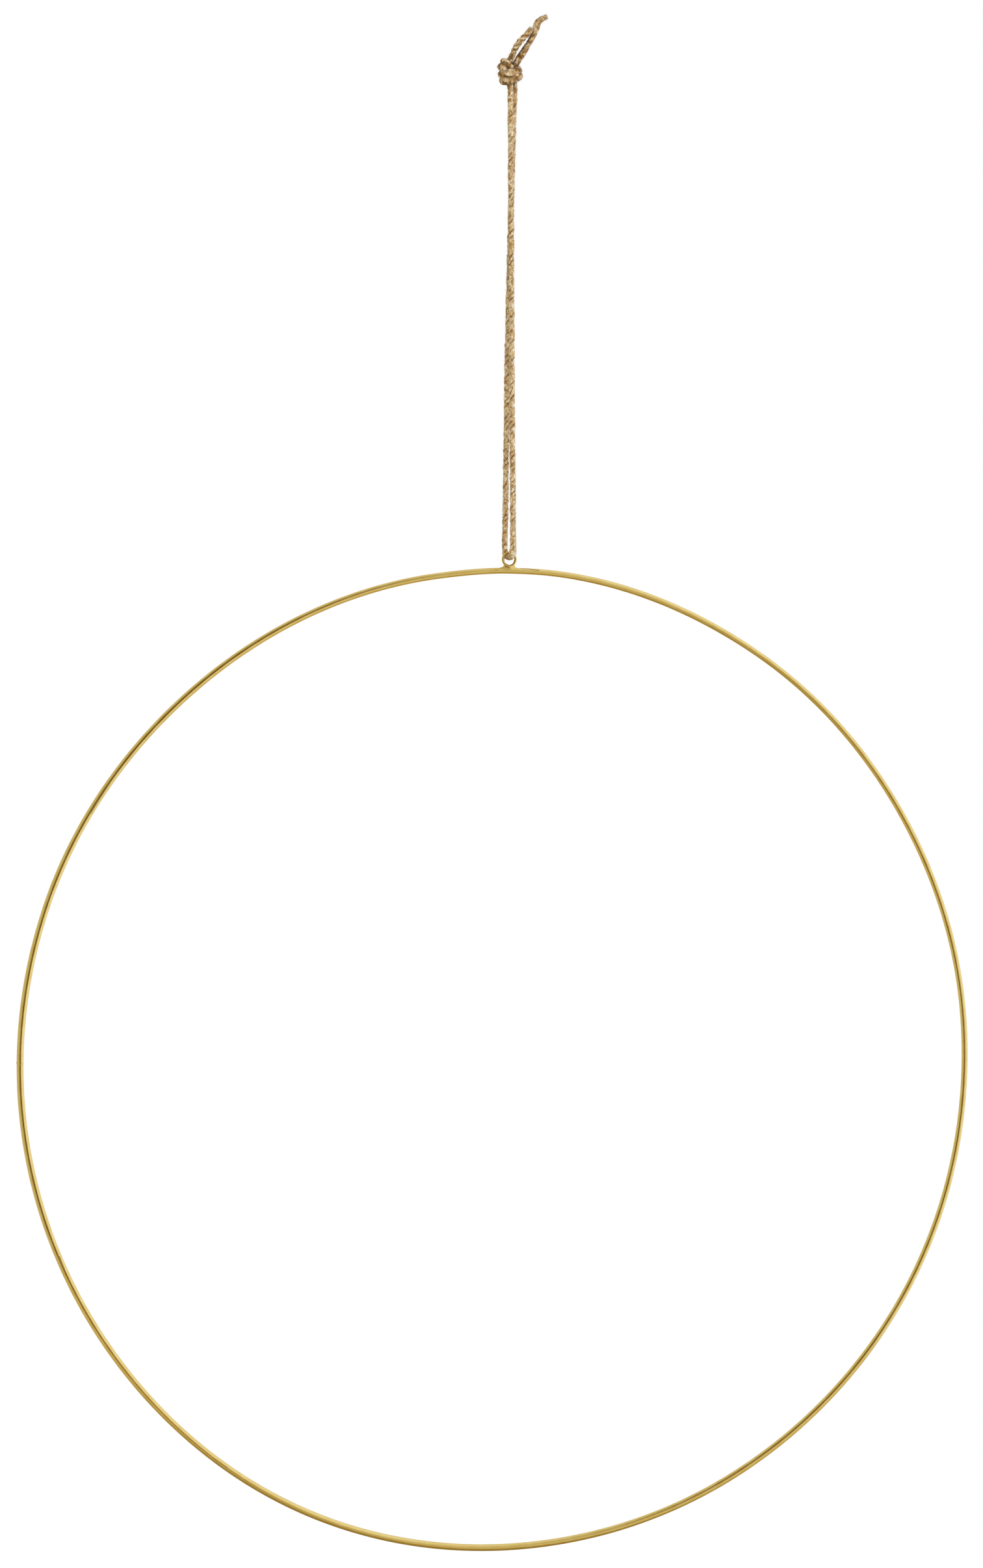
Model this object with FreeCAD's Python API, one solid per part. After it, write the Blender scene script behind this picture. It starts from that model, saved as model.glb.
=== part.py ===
"""Wreath frame: a brass wire hoop with a brazed eyelet, hanging on a knotted loop of jute cord.

Millimetres, +Z up. The origin is the hang point, between the two legs of the cord just under their knot.
The hoop hangs straight below it in the XZ plane, so the axis of the hoop runs along Y.
"""

import FreeCAD, Part
from FreeCAD import Placement, Rotation, Vector
import math
import os

# Hoop
HOOP_OUTER_DIAMETER = 500.0
HOOP_WIRE = 3.5
WELD_DIAMETER = 3.8
WELD_LENGTH = 1.4
WELD_ANGLE = 180.0  # at 9 o'clock, counted from +X

# Eyelet
EYELET_OUTER_DIAMETER = 8.0
EYELET_WIRE = 1.35
BRAZE_GAP = 0.95  # from the bottom of the eyelet down to the top of the hoop
BRAZE_FOOT = (9.0, 2.9)  # length along the hoop and thickness
BRAZE_WAIST = (6.4, 1.9)
BRAZE_HEAD = (5.6, 1.5)

# Cord
CORD = 3.2
CORD_DROP = 238.1  # from the hang point down to the middle of the eyelet's top wire
BIGHT_TOP = 16.0  # the bight's legs reach this far above the eyelet's top wire
BIGHT_DEPTH = 2.6  # from the middle of the eyelet's top wire down to the middle of the cord
BIGHT_HALF_WIDTH = 3.25
BIGHT_SLANT = 14.0  # degrees between the plane of the bight and the Y axis
BIGHT_ARC = 2.3
MOVING_GAP = 0.3  # between the ends of the legs and the ends of the bight

# The knot is a rounded barrel, and both tails leave it at the top
KNOT_RADIUS = 6.3
KNOT_HEIGHT = 14.6
KNOT_ROUNDING = 2.6
KNOT_CENTRE = (-2.1, 0.5)
LEG_TOP = -2.5  # room for the legs to swing under the knot

# Worked out
HOOP_RADIUS = (HOOP_OUTER_DIAMETER - HOOP_WIRE) / 2
EYELET_RADIUS = (EYELET_OUTER_DIAMETER - EYELET_WIRE) / 2
PIVOT_Z = -CORD_DROP
EYELET_Z = PIVOT_Z - EYELET_RADIUS
HOOP_Z = EYELET_Z - EYELET_OUTER_DIAMETER / 2 - BRAZE_GAP - HOOP_OUTER_DIAMETER / 2
BIGHT_TOP_Z = PIVOT_Z + BIGHT_TOP
LEG_BOTTOM = BIGHT_TOP_Z + MOVING_GAP

Y_AXIS = Vector(0, 1, 0)
Z_AXIS = Vector(0, 0, 1)


def bight_point(across, z):
    """A point in the slanted plane of the bight; across is positive towards the front leg."""
    slant = math.radians(BIGHT_SLANT)
    return Vector(across * math.sin(slant), -across * math.cos(slant), z)


FRONT_LEG = [
    Vector(-1.95, -0.95, LEG_TOP),
    Vector(-1.3, -1.5, -62),
    Vector(-0.45, -1.85, -122),
    Vector(0.35, -2.35, -180),
    bight_point(BIGHT_HALF_WIDTH, LEG_BOTTOM),
]
BACK_LEG = [
    Vector(0.65, 1.35, LEG_TOP),
    Vector(-0.25, 1.9, -62),
    Vector(-1.45, 2.1, -122),
    Vector(-1.4, 2.6, -180),
    bight_point(-BIGHT_HALF_WIDTH, LEG_BOTTOM),
]
TAIL_SHORT = [
    Vector(-1.7, 0.1, 13.0),
    Vector(1.7, -1.5, 20.5),
    Vector(7.7, -4.5, 29.0),
]
TAIL_LONG = [
    Vector(2.2, 0.3, 11.5),
    Vector(8.2, -1.2, 22.2),
    Vector(11.2, -2.1, 31.5),
    Vector(15.3, -4.0, 34.6),
]


def torus(radius, wire, centre_z, start=0.0, sweep=360.0):
    """A ring of round wire in the XZ plane, from start degrees anticlockwise as seen from the front."""
    solid = Part.makeTorus(radius, wire / 2, Vector(0, 0, 0), Z_AXIS, 0, 360, sweep)
    turn = Rotation(Z_AXIS, Vector(0, -1, 0)).multiply(Rotation(Z_AXIS, start))
    solid.Placement = Placement(Vector(0, 0, centre_z), turn)
    return solid


def hoop_wire():
    half = math.degrees(WELD_LENGTH / 2 / HOOP_RADIUS)
    return torus(HOOP_RADIUS, HOOP_WIRE, HOOP_Z, WELD_ANGLE + half, 360 - 2 * half)


def hoop_butt_weld():
    half = math.degrees(WELD_LENGTH / 2 / HOOP_RADIUS)
    return torus(HOOP_RADIUS, WELD_DIAMETER, HOOP_Z, WELD_ANGLE - half, 2 * half)


def eyelet_ring():
    return torus(EYELET_RADIUS, EYELET_WIRE, EYELET_Z)


def oval(size, z):
    """A flat oval, size[0] along X and size[1] along Y."""
    curve = Part.Ellipse(Vector(0, 0, z), size[0] / 2, size[1] / 2)
    return Part.Wire([curve.toShape()])


def eyelet_braze():
    """Filler metal between the hoop and the lower third of the eyelet, narrow at its waist."""
    hoop_top = HOOP_Z + HOOP_OUTER_DIAMETER / 2
    sections = [
        oval(BRAZE_FOOT, hoop_top - HOOP_WIRE / 2),
        oval(BRAZE_WAIST, hoop_top + BRAZE_GAP / 2),
        oval(BRAZE_HEAD, EYELET_Z - EYELET_RADIUS / 2),
    ]
    solid = Part.makeLoft(sections, True)
    hole = Part.makeCylinder(EYELET_RADIUS, 10, Vector(0, -5, EYELET_Z), Y_AXIS)
    whole_hoop = torus(HOOP_RADIUS, HOOP_WIRE, HOOP_Z)
    return solid.cut(hole).cut(eyelet_ring()).cut(whole_hoop)


def widest_arc(before, corner, after):
    """The largest arc that two runs allow at their corner."""
    run = min((corner - before).Length, (after - corner).Length)
    turn = (corner - before).getAngle(after - corner)
    return 0.45 * run / math.tan(turn / 2)


def rounded_path(points, arc=None):
    """Straight runs through points, joined by tangent arcs of radius arc, or as large as the runs allow."""
    edges = []
    start = points[0]
    for before, corner, after in zip(points, points[1:], points[2:]):
        into = (corner - before).normalize()
        out = (after - corner).normalize()
        turn = into.getAngle(out)
        radius = arc or widest_arc(before, corner, after)
        print(f"  turn {math.degrees(turn):6.2f} degrees, radius {radius:9.1f} mm")
        setback = radius * math.tan(turn / 2)
        arc_start = corner - into * setback
        arc_end = corner + out * setback
        inwards = (out - into).normalize()
        centre = corner + inwards * (radius / math.cos(turn / 2))
        middle = centre - inwards * radius
        edges.append(Part.LineSegment(start, arc_start).toShape())
        edges.append(Part.Arc(arc_start, middle, arc_end).toShape())
        start = arc_end
    edges.append(Part.LineSegment(start, points[-1]).toShape())
    return Part.Wire(edges)


def tube(name, points, arc=None):
    """Round cord along the points."""
    print(name)
    path = rounded_path(points, arc)
    along = (points[1] - points[0]).normalize()
    section = Part.Wire([Part.Circle(points[0], along, CORD / 2).toShape()])
    solid = path.makePipeShell([section], True, False)
    expected = math.pi * (CORD / 2) ** 2 * path.Length
    print(f"  length {path.Length:.1f} mm, volume {solid.Volume / expected:.4f} of section times length")
    return solid


def cord_bight():
    bottom = PIVOT_Z - BIGHT_DEPTH
    points = [
        bight_point(BIGHT_HALF_WIDTH, BIGHT_TOP_Z),
        bight_point(BIGHT_HALF_WIDTH, bottom),
        bight_point(-BIGHT_HALF_WIDTH, bottom),
        bight_point(-BIGHT_HALF_WIDTH, BIGHT_TOP_Z),
    ]
    return tube("cord_bight", points, BIGHT_ARC)


def cord_knot():
    barrel = Part.makeCylinder(KNOT_RADIUS, KNOT_HEIGHT, Vector(*KNOT_CENTRE, 0))
    rims = [edge for edge in barrel.Edges if isinstance(edge.Curve, Part.Circle)]
    return barrel.makeFillet(KNOT_ROUNDING, rims)


def tail(name, points):
    """A cut end of the cord, from the surface of the knot outwards."""
    return tube(name, points).cut(cord_knot())


def main():
    os.makedirs("parts", exist_ok=True)
    nodes = {
        "hoop_wire": hoop_wire(),
        "hoop_butt_weld": hoop_butt_weld(),
        "eyelet_ring": eyelet_ring(),
        "eyelet_braze": eyelet_braze(),
        "cord_bight": cord_bight(),
        "cord_front_leg": tube("cord_front_leg", FRONT_LEG),
        "cord_back_leg": tube("cord_back_leg", BACK_LEG),
        "cord_knot": cord_knot(),
        "cord_tail_short": tail("cord_tail_short", TAIL_SHORT),
        "cord_tail_long": tail("cord_tail_long", TAIL_LONG),
    }
    for name, shape in nodes.items():
        print(f"{name}: {len(shape.Solids)} solid, valid {shape.isValid()}, {shape.Volume:.1f} mm3")
        shape.Solids[0].exportStep(f"parts/{name}.step")


main()
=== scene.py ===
"""Looks of the wreath frame: a hand-bent brass hoop on a knotted, doubled jute cord, in metres."""

import math

import bpy
import numpy as np
from mathutils import Matrix, Vector


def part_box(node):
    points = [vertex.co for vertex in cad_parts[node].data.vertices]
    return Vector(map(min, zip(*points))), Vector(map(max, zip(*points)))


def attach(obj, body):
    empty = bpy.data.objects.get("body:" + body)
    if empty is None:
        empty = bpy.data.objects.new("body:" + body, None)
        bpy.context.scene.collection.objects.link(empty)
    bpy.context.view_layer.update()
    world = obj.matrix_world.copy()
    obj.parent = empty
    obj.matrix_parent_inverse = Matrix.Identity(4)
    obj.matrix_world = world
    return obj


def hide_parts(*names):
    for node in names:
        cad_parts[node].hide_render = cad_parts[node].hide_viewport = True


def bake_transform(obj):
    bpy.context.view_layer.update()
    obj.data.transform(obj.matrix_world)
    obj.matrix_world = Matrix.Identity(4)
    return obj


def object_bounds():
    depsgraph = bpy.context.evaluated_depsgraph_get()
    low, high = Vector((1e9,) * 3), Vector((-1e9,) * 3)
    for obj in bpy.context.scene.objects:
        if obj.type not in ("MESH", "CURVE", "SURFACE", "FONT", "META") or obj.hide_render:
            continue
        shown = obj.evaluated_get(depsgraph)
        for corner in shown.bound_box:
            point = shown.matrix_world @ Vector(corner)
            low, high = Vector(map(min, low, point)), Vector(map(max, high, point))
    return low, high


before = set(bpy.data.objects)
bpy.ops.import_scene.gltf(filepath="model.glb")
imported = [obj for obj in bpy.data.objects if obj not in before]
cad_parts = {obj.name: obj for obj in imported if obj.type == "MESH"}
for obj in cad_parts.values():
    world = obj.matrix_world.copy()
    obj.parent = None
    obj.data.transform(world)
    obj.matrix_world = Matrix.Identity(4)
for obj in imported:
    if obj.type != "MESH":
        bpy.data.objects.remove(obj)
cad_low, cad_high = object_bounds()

MM = 0.001
RANDOM = np.random.default_rng(20)

# The camera looks from a little to the left, level with the middle of the whole object
CAMERA_AZIMUTH = math.radians(-14.83)
CAMERA_ELEVATION = math.radians(0.03)
CAMERA_ROLL = math.radians(0.56)
CAMERA_DISTANCE = 2.5
CAMERA_ASIDE = -0.0114
CAMERA_UP = -0.35575
CAMERA_LENS = 112.76

# Hoop and eyelet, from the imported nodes
HOOP_LOW, HOOP_HIGH = (np.array(corner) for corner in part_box("hoop_wire"))
EYELET_LOW, EYELET_HIGH = (np.array(corner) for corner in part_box("eyelet_ring"))
HOOP_WIRE = (HOOP_HIGH - HOOP_LOW)[1]
HOOP_RADIUS = (HOOP_HIGH - HOOP_LOW)[2] / 2 - HOOP_WIRE / 2
HOOP_CENTRE = (HOOP_LOW + HOOP_HIGH)[2] / 2
EYELET_WIRE = (EYELET_HIGH - EYELET_LOW)[1]
EYELET_RADIUS = (EYELET_HIGH - EYELET_LOW)[2] / 2 - EYELET_WIRE / 2
EYELET_CENTRE = (EYELET_LOW + EYELET_HIGH)[2] / 2
WIRE_SIDES = 28
WELD_LENGTH = 1.5 * MM
HOOP_WARP = 0.35 * MM  # how far the hoop leaves its plane
HOOP_RINGS = 1500
EYELET_RINGS = 180
WELD_RINGS = 25

# How far the hand-bent hoop leaves its circle: clock angle in degrees, and millimetres outwards
HOOP_SWAYS = [(0, 0.9), (5, 1.1), (33, -0.4), (56, -0.8), (85, 0.25), (113, 0.6), (150, -0.25),
              (170, -0.4), (202, 0.4), (233, -0.5), (272, 0.4), (288, 0.3), (318, -0.8), (352, 0.35)]

# How thick its drawn and polished wire is against its full size, by clock angle
HOOP_THINNING = [(0, 0.89), (15, 0.94), (37, 0.895), (65, 0.94), (90, 0.925), (120, 0.965), (150, 1.0),
                 (290, 1.0), (320, 0.965), (345, 0.905)]

# Marks on the hoop: start and end as metres along it from its top and round its wire, and width
HOOP_MARKS = [
    ((0.0056, 0.0007), (0.0153, 0.0016), 0.00036),
    ((-0.0013, 0.0022), (-0.0001, 0.0024), 0.00030),
    ((-0.0078, 0.0020), (-0.0062, 0.0021), 0.00022),
    ((-0.2600, 0.0030), (-0.2420, 0.0026), 0.00018),
    ((-0.4980, 0.0024), (-0.4890, 0.0030), 0.00022),
    ((0.9310, 0.0028), (0.9400, 0.0024), 0.00018),
]

HOOP_TOP_RADIUS = HOOP_WIRE / 2 * HOOP_THINNING[0][1]

# Where a nick cuts into the braze, from the middle of the hoop's wire at its top
BRAZE_NICK = np.array([2.1, -0.75, 2.95]) * MM
NICK_RADIUS = 0.42 * MM

# The braze's feet along the hoop to the left and right, the box it is modelled in and that box's grid
LEFT_FOOT = 5.0 * MM
RIGHT_FOOT = 4.4 * MM
BRAZE_REACH = np.array([6.5, 3.0, 3.2]) * MM
BRAZE_GRID = 0.11 * MM

# Jute cord: three matted plies, laid to the right, with a nap of loose fibres
CORD = 3.2 * MM
CORE_RADIUS = 1.40 * MM
CORD_SIDES = 46
GROOVE = 0.42 * MM
LAY_LENGTH = 9.3 * MM
RING_STEP = 0.3 * MM
LOOP_TOP = -14 * MM  # the hanging loop is one piece below this height
NECK_TOP = 0.0  # the knot is one piece above this height, and the neck joins the two

# Lumps of the cord: height and shortest and longest wave, in millimetres, and seed
CORD_LUMPS = [(0.19, 3.5, 10, 21), (0.08, 1.1, 3, 22)]

# Loose fibres: how many to the metre, and what share of them stray
LOOP_NAP = (32000, 0.025)
NECK_NAP = (32000, 0.03)
KNOT_NAP = (40000, 0.025)
HAIR_STEPS = 4
HAIR_SIDES = 3

# How thick the cord is by distance from its long tail's tip, in millimetres: untwisted near the cut
# ends, worked loose in the knot, pulled thin in the legs and fluffed where the eyelet rubs it
THICKNESS = [(0, 1.02), (3, 1.08), (8, 1.26), (14, 1.06), (22, 1.2), (30, 1.3), (36, 1.42), (52, 1.42),
             (58, 1.24), (74, 1.24), (86, 0.99), (200, 0.97), (315, 1.0), (319, 1.24), (322, 1.30),
             (326, 1.0), (331, 1.04), (440, 0.97), (555, 0.99), (567, 1.24), (583, 1.24), (589, 1.42),
             (602, 1.42), (610, 1.34), (618, 1.2), (625, 1.04), (630, 1.12), (636, 1.0)]

# The route from the knot down the front leg, through the eyelet and up the back leg, in millimetres
ROUTE = [
    (-1.95, -0.95, -2.5),
    (-1.3, -1.5, -62),
    (-0.45, -1.85, -122),
    (0.35, -2.35, -180),
    (1.0, -3.1, -221.8),
    (1.05, -3.5, -231.0),
    (0.9, -4.1, -236.5),
    (0.45, -3.1, -240.3),
    (-0.85, 3.1, -240.3),
    (-1.5, 3.8, -236.4),
    (-1.5, 3.1, -221.8),
    (-1.4, 2.6, -180),
    (-1.45, 2.1, -122),
    (-0.25, 1.9, -62),
    (0.65, 1.35, -2.5),
]

# Colours, as linear light
JUTE_SHADE = (0.210, 0.115, 0.040)
JUTE_TAN = (0.450, 0.305, 0.140)
JUTE_STRAW = (0.690, 0.535, 0.310)
JUTE_PALE = (0.950, 0.880, 0.690)
JUTE_FLECK = (0.130, 0.070, 0.030)
JUTE_RUST = (0.40, 0.21, 0.09)
JUTE_TINT = (0.80, 0.66, 0.48)
BRASS = (0.737, 0.560, 0.190)
BRASS_WARM = (0.690, 0.500, 0.150)
BRASS_STAIN = (0.180, 0.100, 0.030)

# The studio: light from each compass angle, counted from the front to the right
STUDIO_WALLS = [
    (-180, (0.95, 0.95, 0.92)), (-140, (0.84, 0.84, 0.78)), (-60, (0.72, 0.72, 0.64)),
    (-35, (0.62, 0.58, 0.46)), (0, (0.80, 0.78, 0.68)), (14, (0.74, 0.72, 0.62)),
    (25, (0.98, 0.99, 1.00)), (36, (1.14, 1.18, 1.34)), (60, (1.18, 1.24, 1.50)),
    (112, (1.08, 1.14, 1.34)), (180, (0.95, 0.95, 0.92)),
]
STUDIO_FLOOR = (0.68, 0.61, 0.45)
STUDIO_CEILING = (0.85, 0.85, 0.82)
STUDIO_STRENGTH = 1.0
FLOOR_HALF_WIDTH = 0.9
FLOOR_DROP = 0.3

# The floor's painted shadow: its colours by distance from its middle, darker right under the hoop
FLOOR_PAINTED_SHADOW = [(0.25, (0.38, 0.30, 0.14)), (0.6, (0.72, 0.64, 0.44))]

# The painted shade in front: a dark, dimly glowing sheet
FLAG_PAINTED_SHADE = (0.20, 0.13, 0.02)
FLAG_DISTANCE = 1.2
FLAG_WIDTH = 1.0
FLAG_ASIDE = -0.04
FLAG_HEIGHT = 3.2
LAMPS = [
    ("front_lamp", (-0.4, -2.2, 0.9), 1.2, 16, (1.0, 0.98, 0.95)),
    ("right_lamp", (2.0, -0.9, 0.7), 1.0, 10, (1.0, 0.99, 0.97)),
]


# ---------------------------------------------------------------- small tools


def node(tree, kind, inputs=None, **settings):
    """A new node with its settings; an input is a number, a colour or another node's output."""
    made = tree.nodes.new(kind)
    for name, value in settings.items():
        setattr(made, name, value)
    for key, value in (inputs or {}).items():
        if isinstance(value, bpy.types.NodeSocket):
            tree.links.new(value, made.inputs[key])
        else:
            made.inputs[key].default_value = value
    return made


def ramp(tree, factor, stops):
    """The colour output of a colour ramp with stops of (place, colour or grey)."""
    made = node(tree, "ShaderNodeValToRGB", {"Fac": factor})
    elements = made.color_ramp.elements
    while len(elements) < len(stops):
        elements.new(0.5)
    for element, (place, colour) in zip(elements, stops):
        element.position = place
        element.color = (*colour, 1) if isinstance(colour, tuple) else (colour, colour, colour, 1)
    return made.outputs["Color"]


def arithmetic(tree, operation, *values):
    """The value output of a math node."""
    return node(tree, "ShaderNodeMath", dict(enumerate(values)), operation=operation).outputs[0]


def mixed(tree, factor, a, b, blend="MIX"):
    """The colour output of a mix node."""
    made = node(tree, "ShaderNodeMix", data_type="RGBA", blend_type=blend)
    for key, value in ((0, factor), (6, a), (7, b)):
        if isinstance(value, bpy.types.NodeSocket):
            tree.links.new(value, made.inputs[key])
        else:
            made.inputs[key].default_value = (*value, 1) if isinstance(value, tuple) else value
    return made.outputs[2]


def noise(tree, vector, scale, detail=3.0, roughness=0.5, distortion=0.0):
    """The factor output of a noise texture."""
    sizes = {"Vector": vector, "Scale": scale, "Detail": detail, "Roughness": roughness,
             "Distortion": distortion}
    return node(tree, "ShaderNodeTexNoise", sizes).outputs["Fac"]


def add_object(name, data):
    """A new object in the scene."""
    made = bpy.data.objects.new(name, data)
    bpy.context.scene.collection.objects.link(made)
    return made


def smooth_step(x, low, high):
    """0 at low and beyond, 1 at high and beyond, and smooth between."""
    t = np.clip((x - low) / (high - low), 0, 1)
    return t * t * (3 - 2 * t)


def wander(along, wavelength, strength, seed):
    """A smooth, seeded wobble of a few sines, the same each run."""
    draws = np.random.default_rng(seed)
    total = np.zeros_like(along)
    for share in (1.0, 0.61, 0.37, 0.23):
        total += share * np.sin(2 * np.pi * along / (wavelength * share) + draws.uniform(0, 6.28))
    return total * strength / 1.5


def normalized(vectors):
    """The same vectors at length 1."""
    return vectors / np.maximum(np.linalg.norm(vectors, axis=-1, keepdims=True), 1e-12)


def along_line(points):
    """Length from the first point to each point."""
    return np.concatenate([[0], np.cumsum(np.linalg.norm(np.diff(points, axis=0), axis=1))])


def evenly(points, step):
    """The same line with its points evenly spaced, about step apart."""
    along = along_line(points)
    wanted = np.linspace(0, along[-1], max(2, round(along[-1] / step) + 1))
    return np.stack([np.interp(wanted, along, points[:, k]) for k in range(3)], 1)


def nurbs_line(control, step):
    """Evenly spaced points of the smooth curve that has these control points, in metres."""
    curve = bpy.data.curves.new("route", "CURVE")
    curve.dimensions = "3D"
    spline = curve.splines.new("NURBS")
    spline.points.add(len(control) - 1)
    for point, place in zip(spline.points, control):
        point.co = (*place, 1)
    spline.order_u = 3
    spline.use_endpoint_u = True
    spline.resolution_u = 48
    holder = add_object("route", curve)
    mesh = bpy.data.meshes.new_from_object(holder)
    points = np.array([vertex.co for vertex in mesh.vertices], float)
    bpy.data.objects.remove(holder)
    bpy.data.curves.remove(curve)
    bpy.data.meshes.remove(mesh)
    return evenly(points, step)


def frames_along(line):
    """Tangents and two normals at each point, turning as little as possible along the line."""
    tangents = normalized(np.gradient(line, axis=0))
    first = np.cross(tangents[0], (0.0, 1.0, 0.3))
    normals = [first / np.linalg.norm(first)]
    for tangent in tangents[1:]:
        flat = normals[-1] - tangent * (normals[-1] @ tangent)
        normals.append(flat / np.linalg.norm(flat))
    normals = np.array(normals)
    return tangents, normals, np.cross(tangents, normals)


class MeshParts:
    """Collects tubes into one mesh with UVs in metres: U along the tube, V around it."""

    def __init__(self):
        self.points, self.faces, self.uvs, self.flat, self.extra = [], [], [], [], []
        self.count = 0

    def tube(self, rings, along, girth, closed=False, extra=None):
        """Adds a tube through rings, whose shape is (rings, sides, 3); one that isn't closed has caps."""
        number, sides = rings.shape[:2]
        base = self.count
        steps = number if closed else number - 1
        i, j = np.meshgrid(np.arange(steps), np.arange(sides), indexing="ij")
        after, beside = (i + 1) % number, (j + 1) % sides
        quads = np.stack([i * sides + j, i * sides + beside, after * sides + beside,
                          after * sides + j], -1).reshape(-1, 4) + base
        ends = np.append(along, along[-1] + along[1] - along[0]) if closed else along
        u = np.stack([ends[i], ends[i], ends[i + 1], ends[i + 1]], -1).reshape(-1, 4)
        v = np.stack([j, j + 1, j + 1, j], -1).reshape(-1, 4) * girth / sides
        self.points.append(rings.reshape(-1, 3))
        self.faces += quads.tolist()
        self.uvs.append(np.stack([u, v], -1).reshape(-1, 2))
        self.flat += [False] * len(quads)
        self.extra.append(np.zeros(number * sides) if extra is None else extra.reshape(-1))
        if not closed:
            for ring, turn in ((0, -1), (number - 1, 1)):
                cap = (base + ring * sides + np.arange(sides))[::turn]
                self.faces.append(cap.tolist())
                angle = np.linspace(0, 2 * np.pi, sides, endpoint=False)[::turn]
                across = along[ring] + girth / 10 * np.cos(angle)
                self.uvs.append(np.stack([across, girth / 9 * np.sin(angle)], 1))
                self.flat.append(True)
        self.count += number * sides

    def build(self, name, material, extra_name=None):
        """The finished object."""
        mesh = bpy.data.meshes.new(name)
        mesh.from_pydata(np.concatenate(self.points).tolist(), [], self.faces)
        mesh.uv_layers.new(name="UVMap").data.foreach_set("uv", np.concatenate(self.uvs).ravel())
        mesh.polygons.foreach_set("use_smooth", [not flat for flat in self.flat])
        if extra_name:
            attribute = mesh.attributes.new(extra_name, "FLOAT", "POINT")
            attribute.data.foreach_set("value", np.concatenate(self.extra).astype(np.float32))
        mesh.materials.append(material)
        mesh.update()
        return add_object(name, mesh)


# ---------------------------------------------------------------- the knot

# The doubled cord through the overhand knot, in millimetres as seen by the camera: across, away, up.
# Each row is the middle of the pair, and the way from there to the front leg's strand.
KNOT_ROUTE = [
    ((-0.6, 0.3, 1.5), (-1.2, -1.1, 0.0)),
    ((-0.4, 0.8, 5.0), (-1.3, -0.8, -0.3)),
    ((-3.0, -1.6, 8.8), (-1.1, 0.0, -1.4)),
    ((-5.9, -1.7, 12.0), (-1.2, -0.2, -1.3)),
    ((-6.4, 1.8, 12.0), (-1.3, 0.2, -1.2)),
    ((-4.0, 5.4, 9.0), (-0.5, 0.6, -1.5)),
    ((-0.2, 6.4, 7.0), (0.0, 0.4, -1.65)),
    ((3.2, 4.0, 6.6), (0.3, 0.3, -1.65)),
    ((4.1, -0.8, 6.7), (0.2, -0.2, -1.75)),
    ((1.2, -4.9, 5.0), (0.0, -0.2, -1.75)),
    ((-3.2, -5.6, 2.4), (0.0, -0.2, -1.75)),
    ((-6.5, -3.0, 2.2), (-0.2, 0.0, -1.75)),
    ((-7.0, 1.0, 3.6), (-0.2, 0.3, -1.65)),
    ((-4.6, 3.4, 6.4), (0.5, 0.3, -1.6)),
    ((-1.8, 2.4, 10.0), (1.4, 0.2, -0.9)),
    ((0.3, 1.1, 14.4), (2.1, 0.4, -0.5)),
]
LONG_TAIL = [(8.0, 0.9, 22.2), (10.9, 0.9, 28.5), (11.5, 0.8, 33.2), (16.9, 0.2, 35.3)]
SHORT_TAIL = [(1.5, -1.0, 20.7), (6.2, -1.5, 25.3), (9.0, -1.9, 28.9)]
CONTACT = 3.05 * MM  # how near two strands come to each other when the knot is pulled tight
LINK = 0.8 * MM
TIGHTENING = 0.12  # the share of its length that a link loses when the knot is pulled tight
SETTLING_ROUNDS = 700


def from_view(point):
    """A point given across, away from the camera and up, in millimetres, in the row frame."""
    across, away, up = point
    side, ahead = math.cos(CAMERA_AZIMUTH), math.sin(CAMERA_AZIMUTH)
    return np.array([across * side - away * ahead, across * ahead + away * side, up]) * MM


def knot_strand(leg_end, side, tail):
    """A strand of the untightened knot, from inside the leg to the tip of its tail."""
    middle = [from_view(np.add(place, np.multiply(side, way))) for place, way in KNOT_ROUTE]
    return nurbs_line([*leg_end, *middle, *(from_view(place) for place in tail)], LINK)


def push_apart(points, beside):
    """How far each point moves away from those that it is too near to, apart from those beside it."""
    apart = points[:, None] - points
    far = np.linalg.norm(apart, axis=2) + np.eye(len(points))
    short = np.where(beside, 0, np.clip(CONTACT - far, 0, None))
    crowd = np.maximum((short > 0).sum(1), 1)[:, None]
    return 0.9 * (apart * (short / far)[..., None]).sum(1) / crowd


def pull_tight(strands, held):
    """Settles strands that are too close or too slack, as pulling on them does; held points stay."""
    points = np.concatenate(strands)
    owner = np.repeat(np.arange(len(strands)), [len(strand) for strand in strands])
    order = np.arange(len(points))
    beside = (owner[:, None] == owner) & (np.abs(order[:, None] - order) * LINK < 1.3 * CORD)
    joined = order[:-1][owner[:-1] == owner[1:]]
    inner = joined[1:][owner[joined[1:] - 1] == owner[joined[1:]]]
    free = (~np.concatenate(held))[:, None]
    for turn in range(SETTLING_ROUNDS):
        move = push_apart(points, beside)
        step = points[joined + 1] - points[joined]
        length = np.linalg.norm(step, axis=1)
        goal = LINK * (1 - TIGHTENING * min(1, turn / (0.6 * SETTLING_ROUNDS)))
        pull = 0.25 * step * ((length - goal) / length)[:, None]
        np.add.at(move, joined, pull)
        np.add.at(move, joined + 1, -pull)
        bend = (points[inner - 1] + points[inner + 1]) / 2 - points[inner]
        move[inner] += 0.12 * bend
        points = points + free * move
    cuts = np.cumsum([len(strand) for strand in strands])[:-1]
    return np.split(points, cuts)


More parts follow.
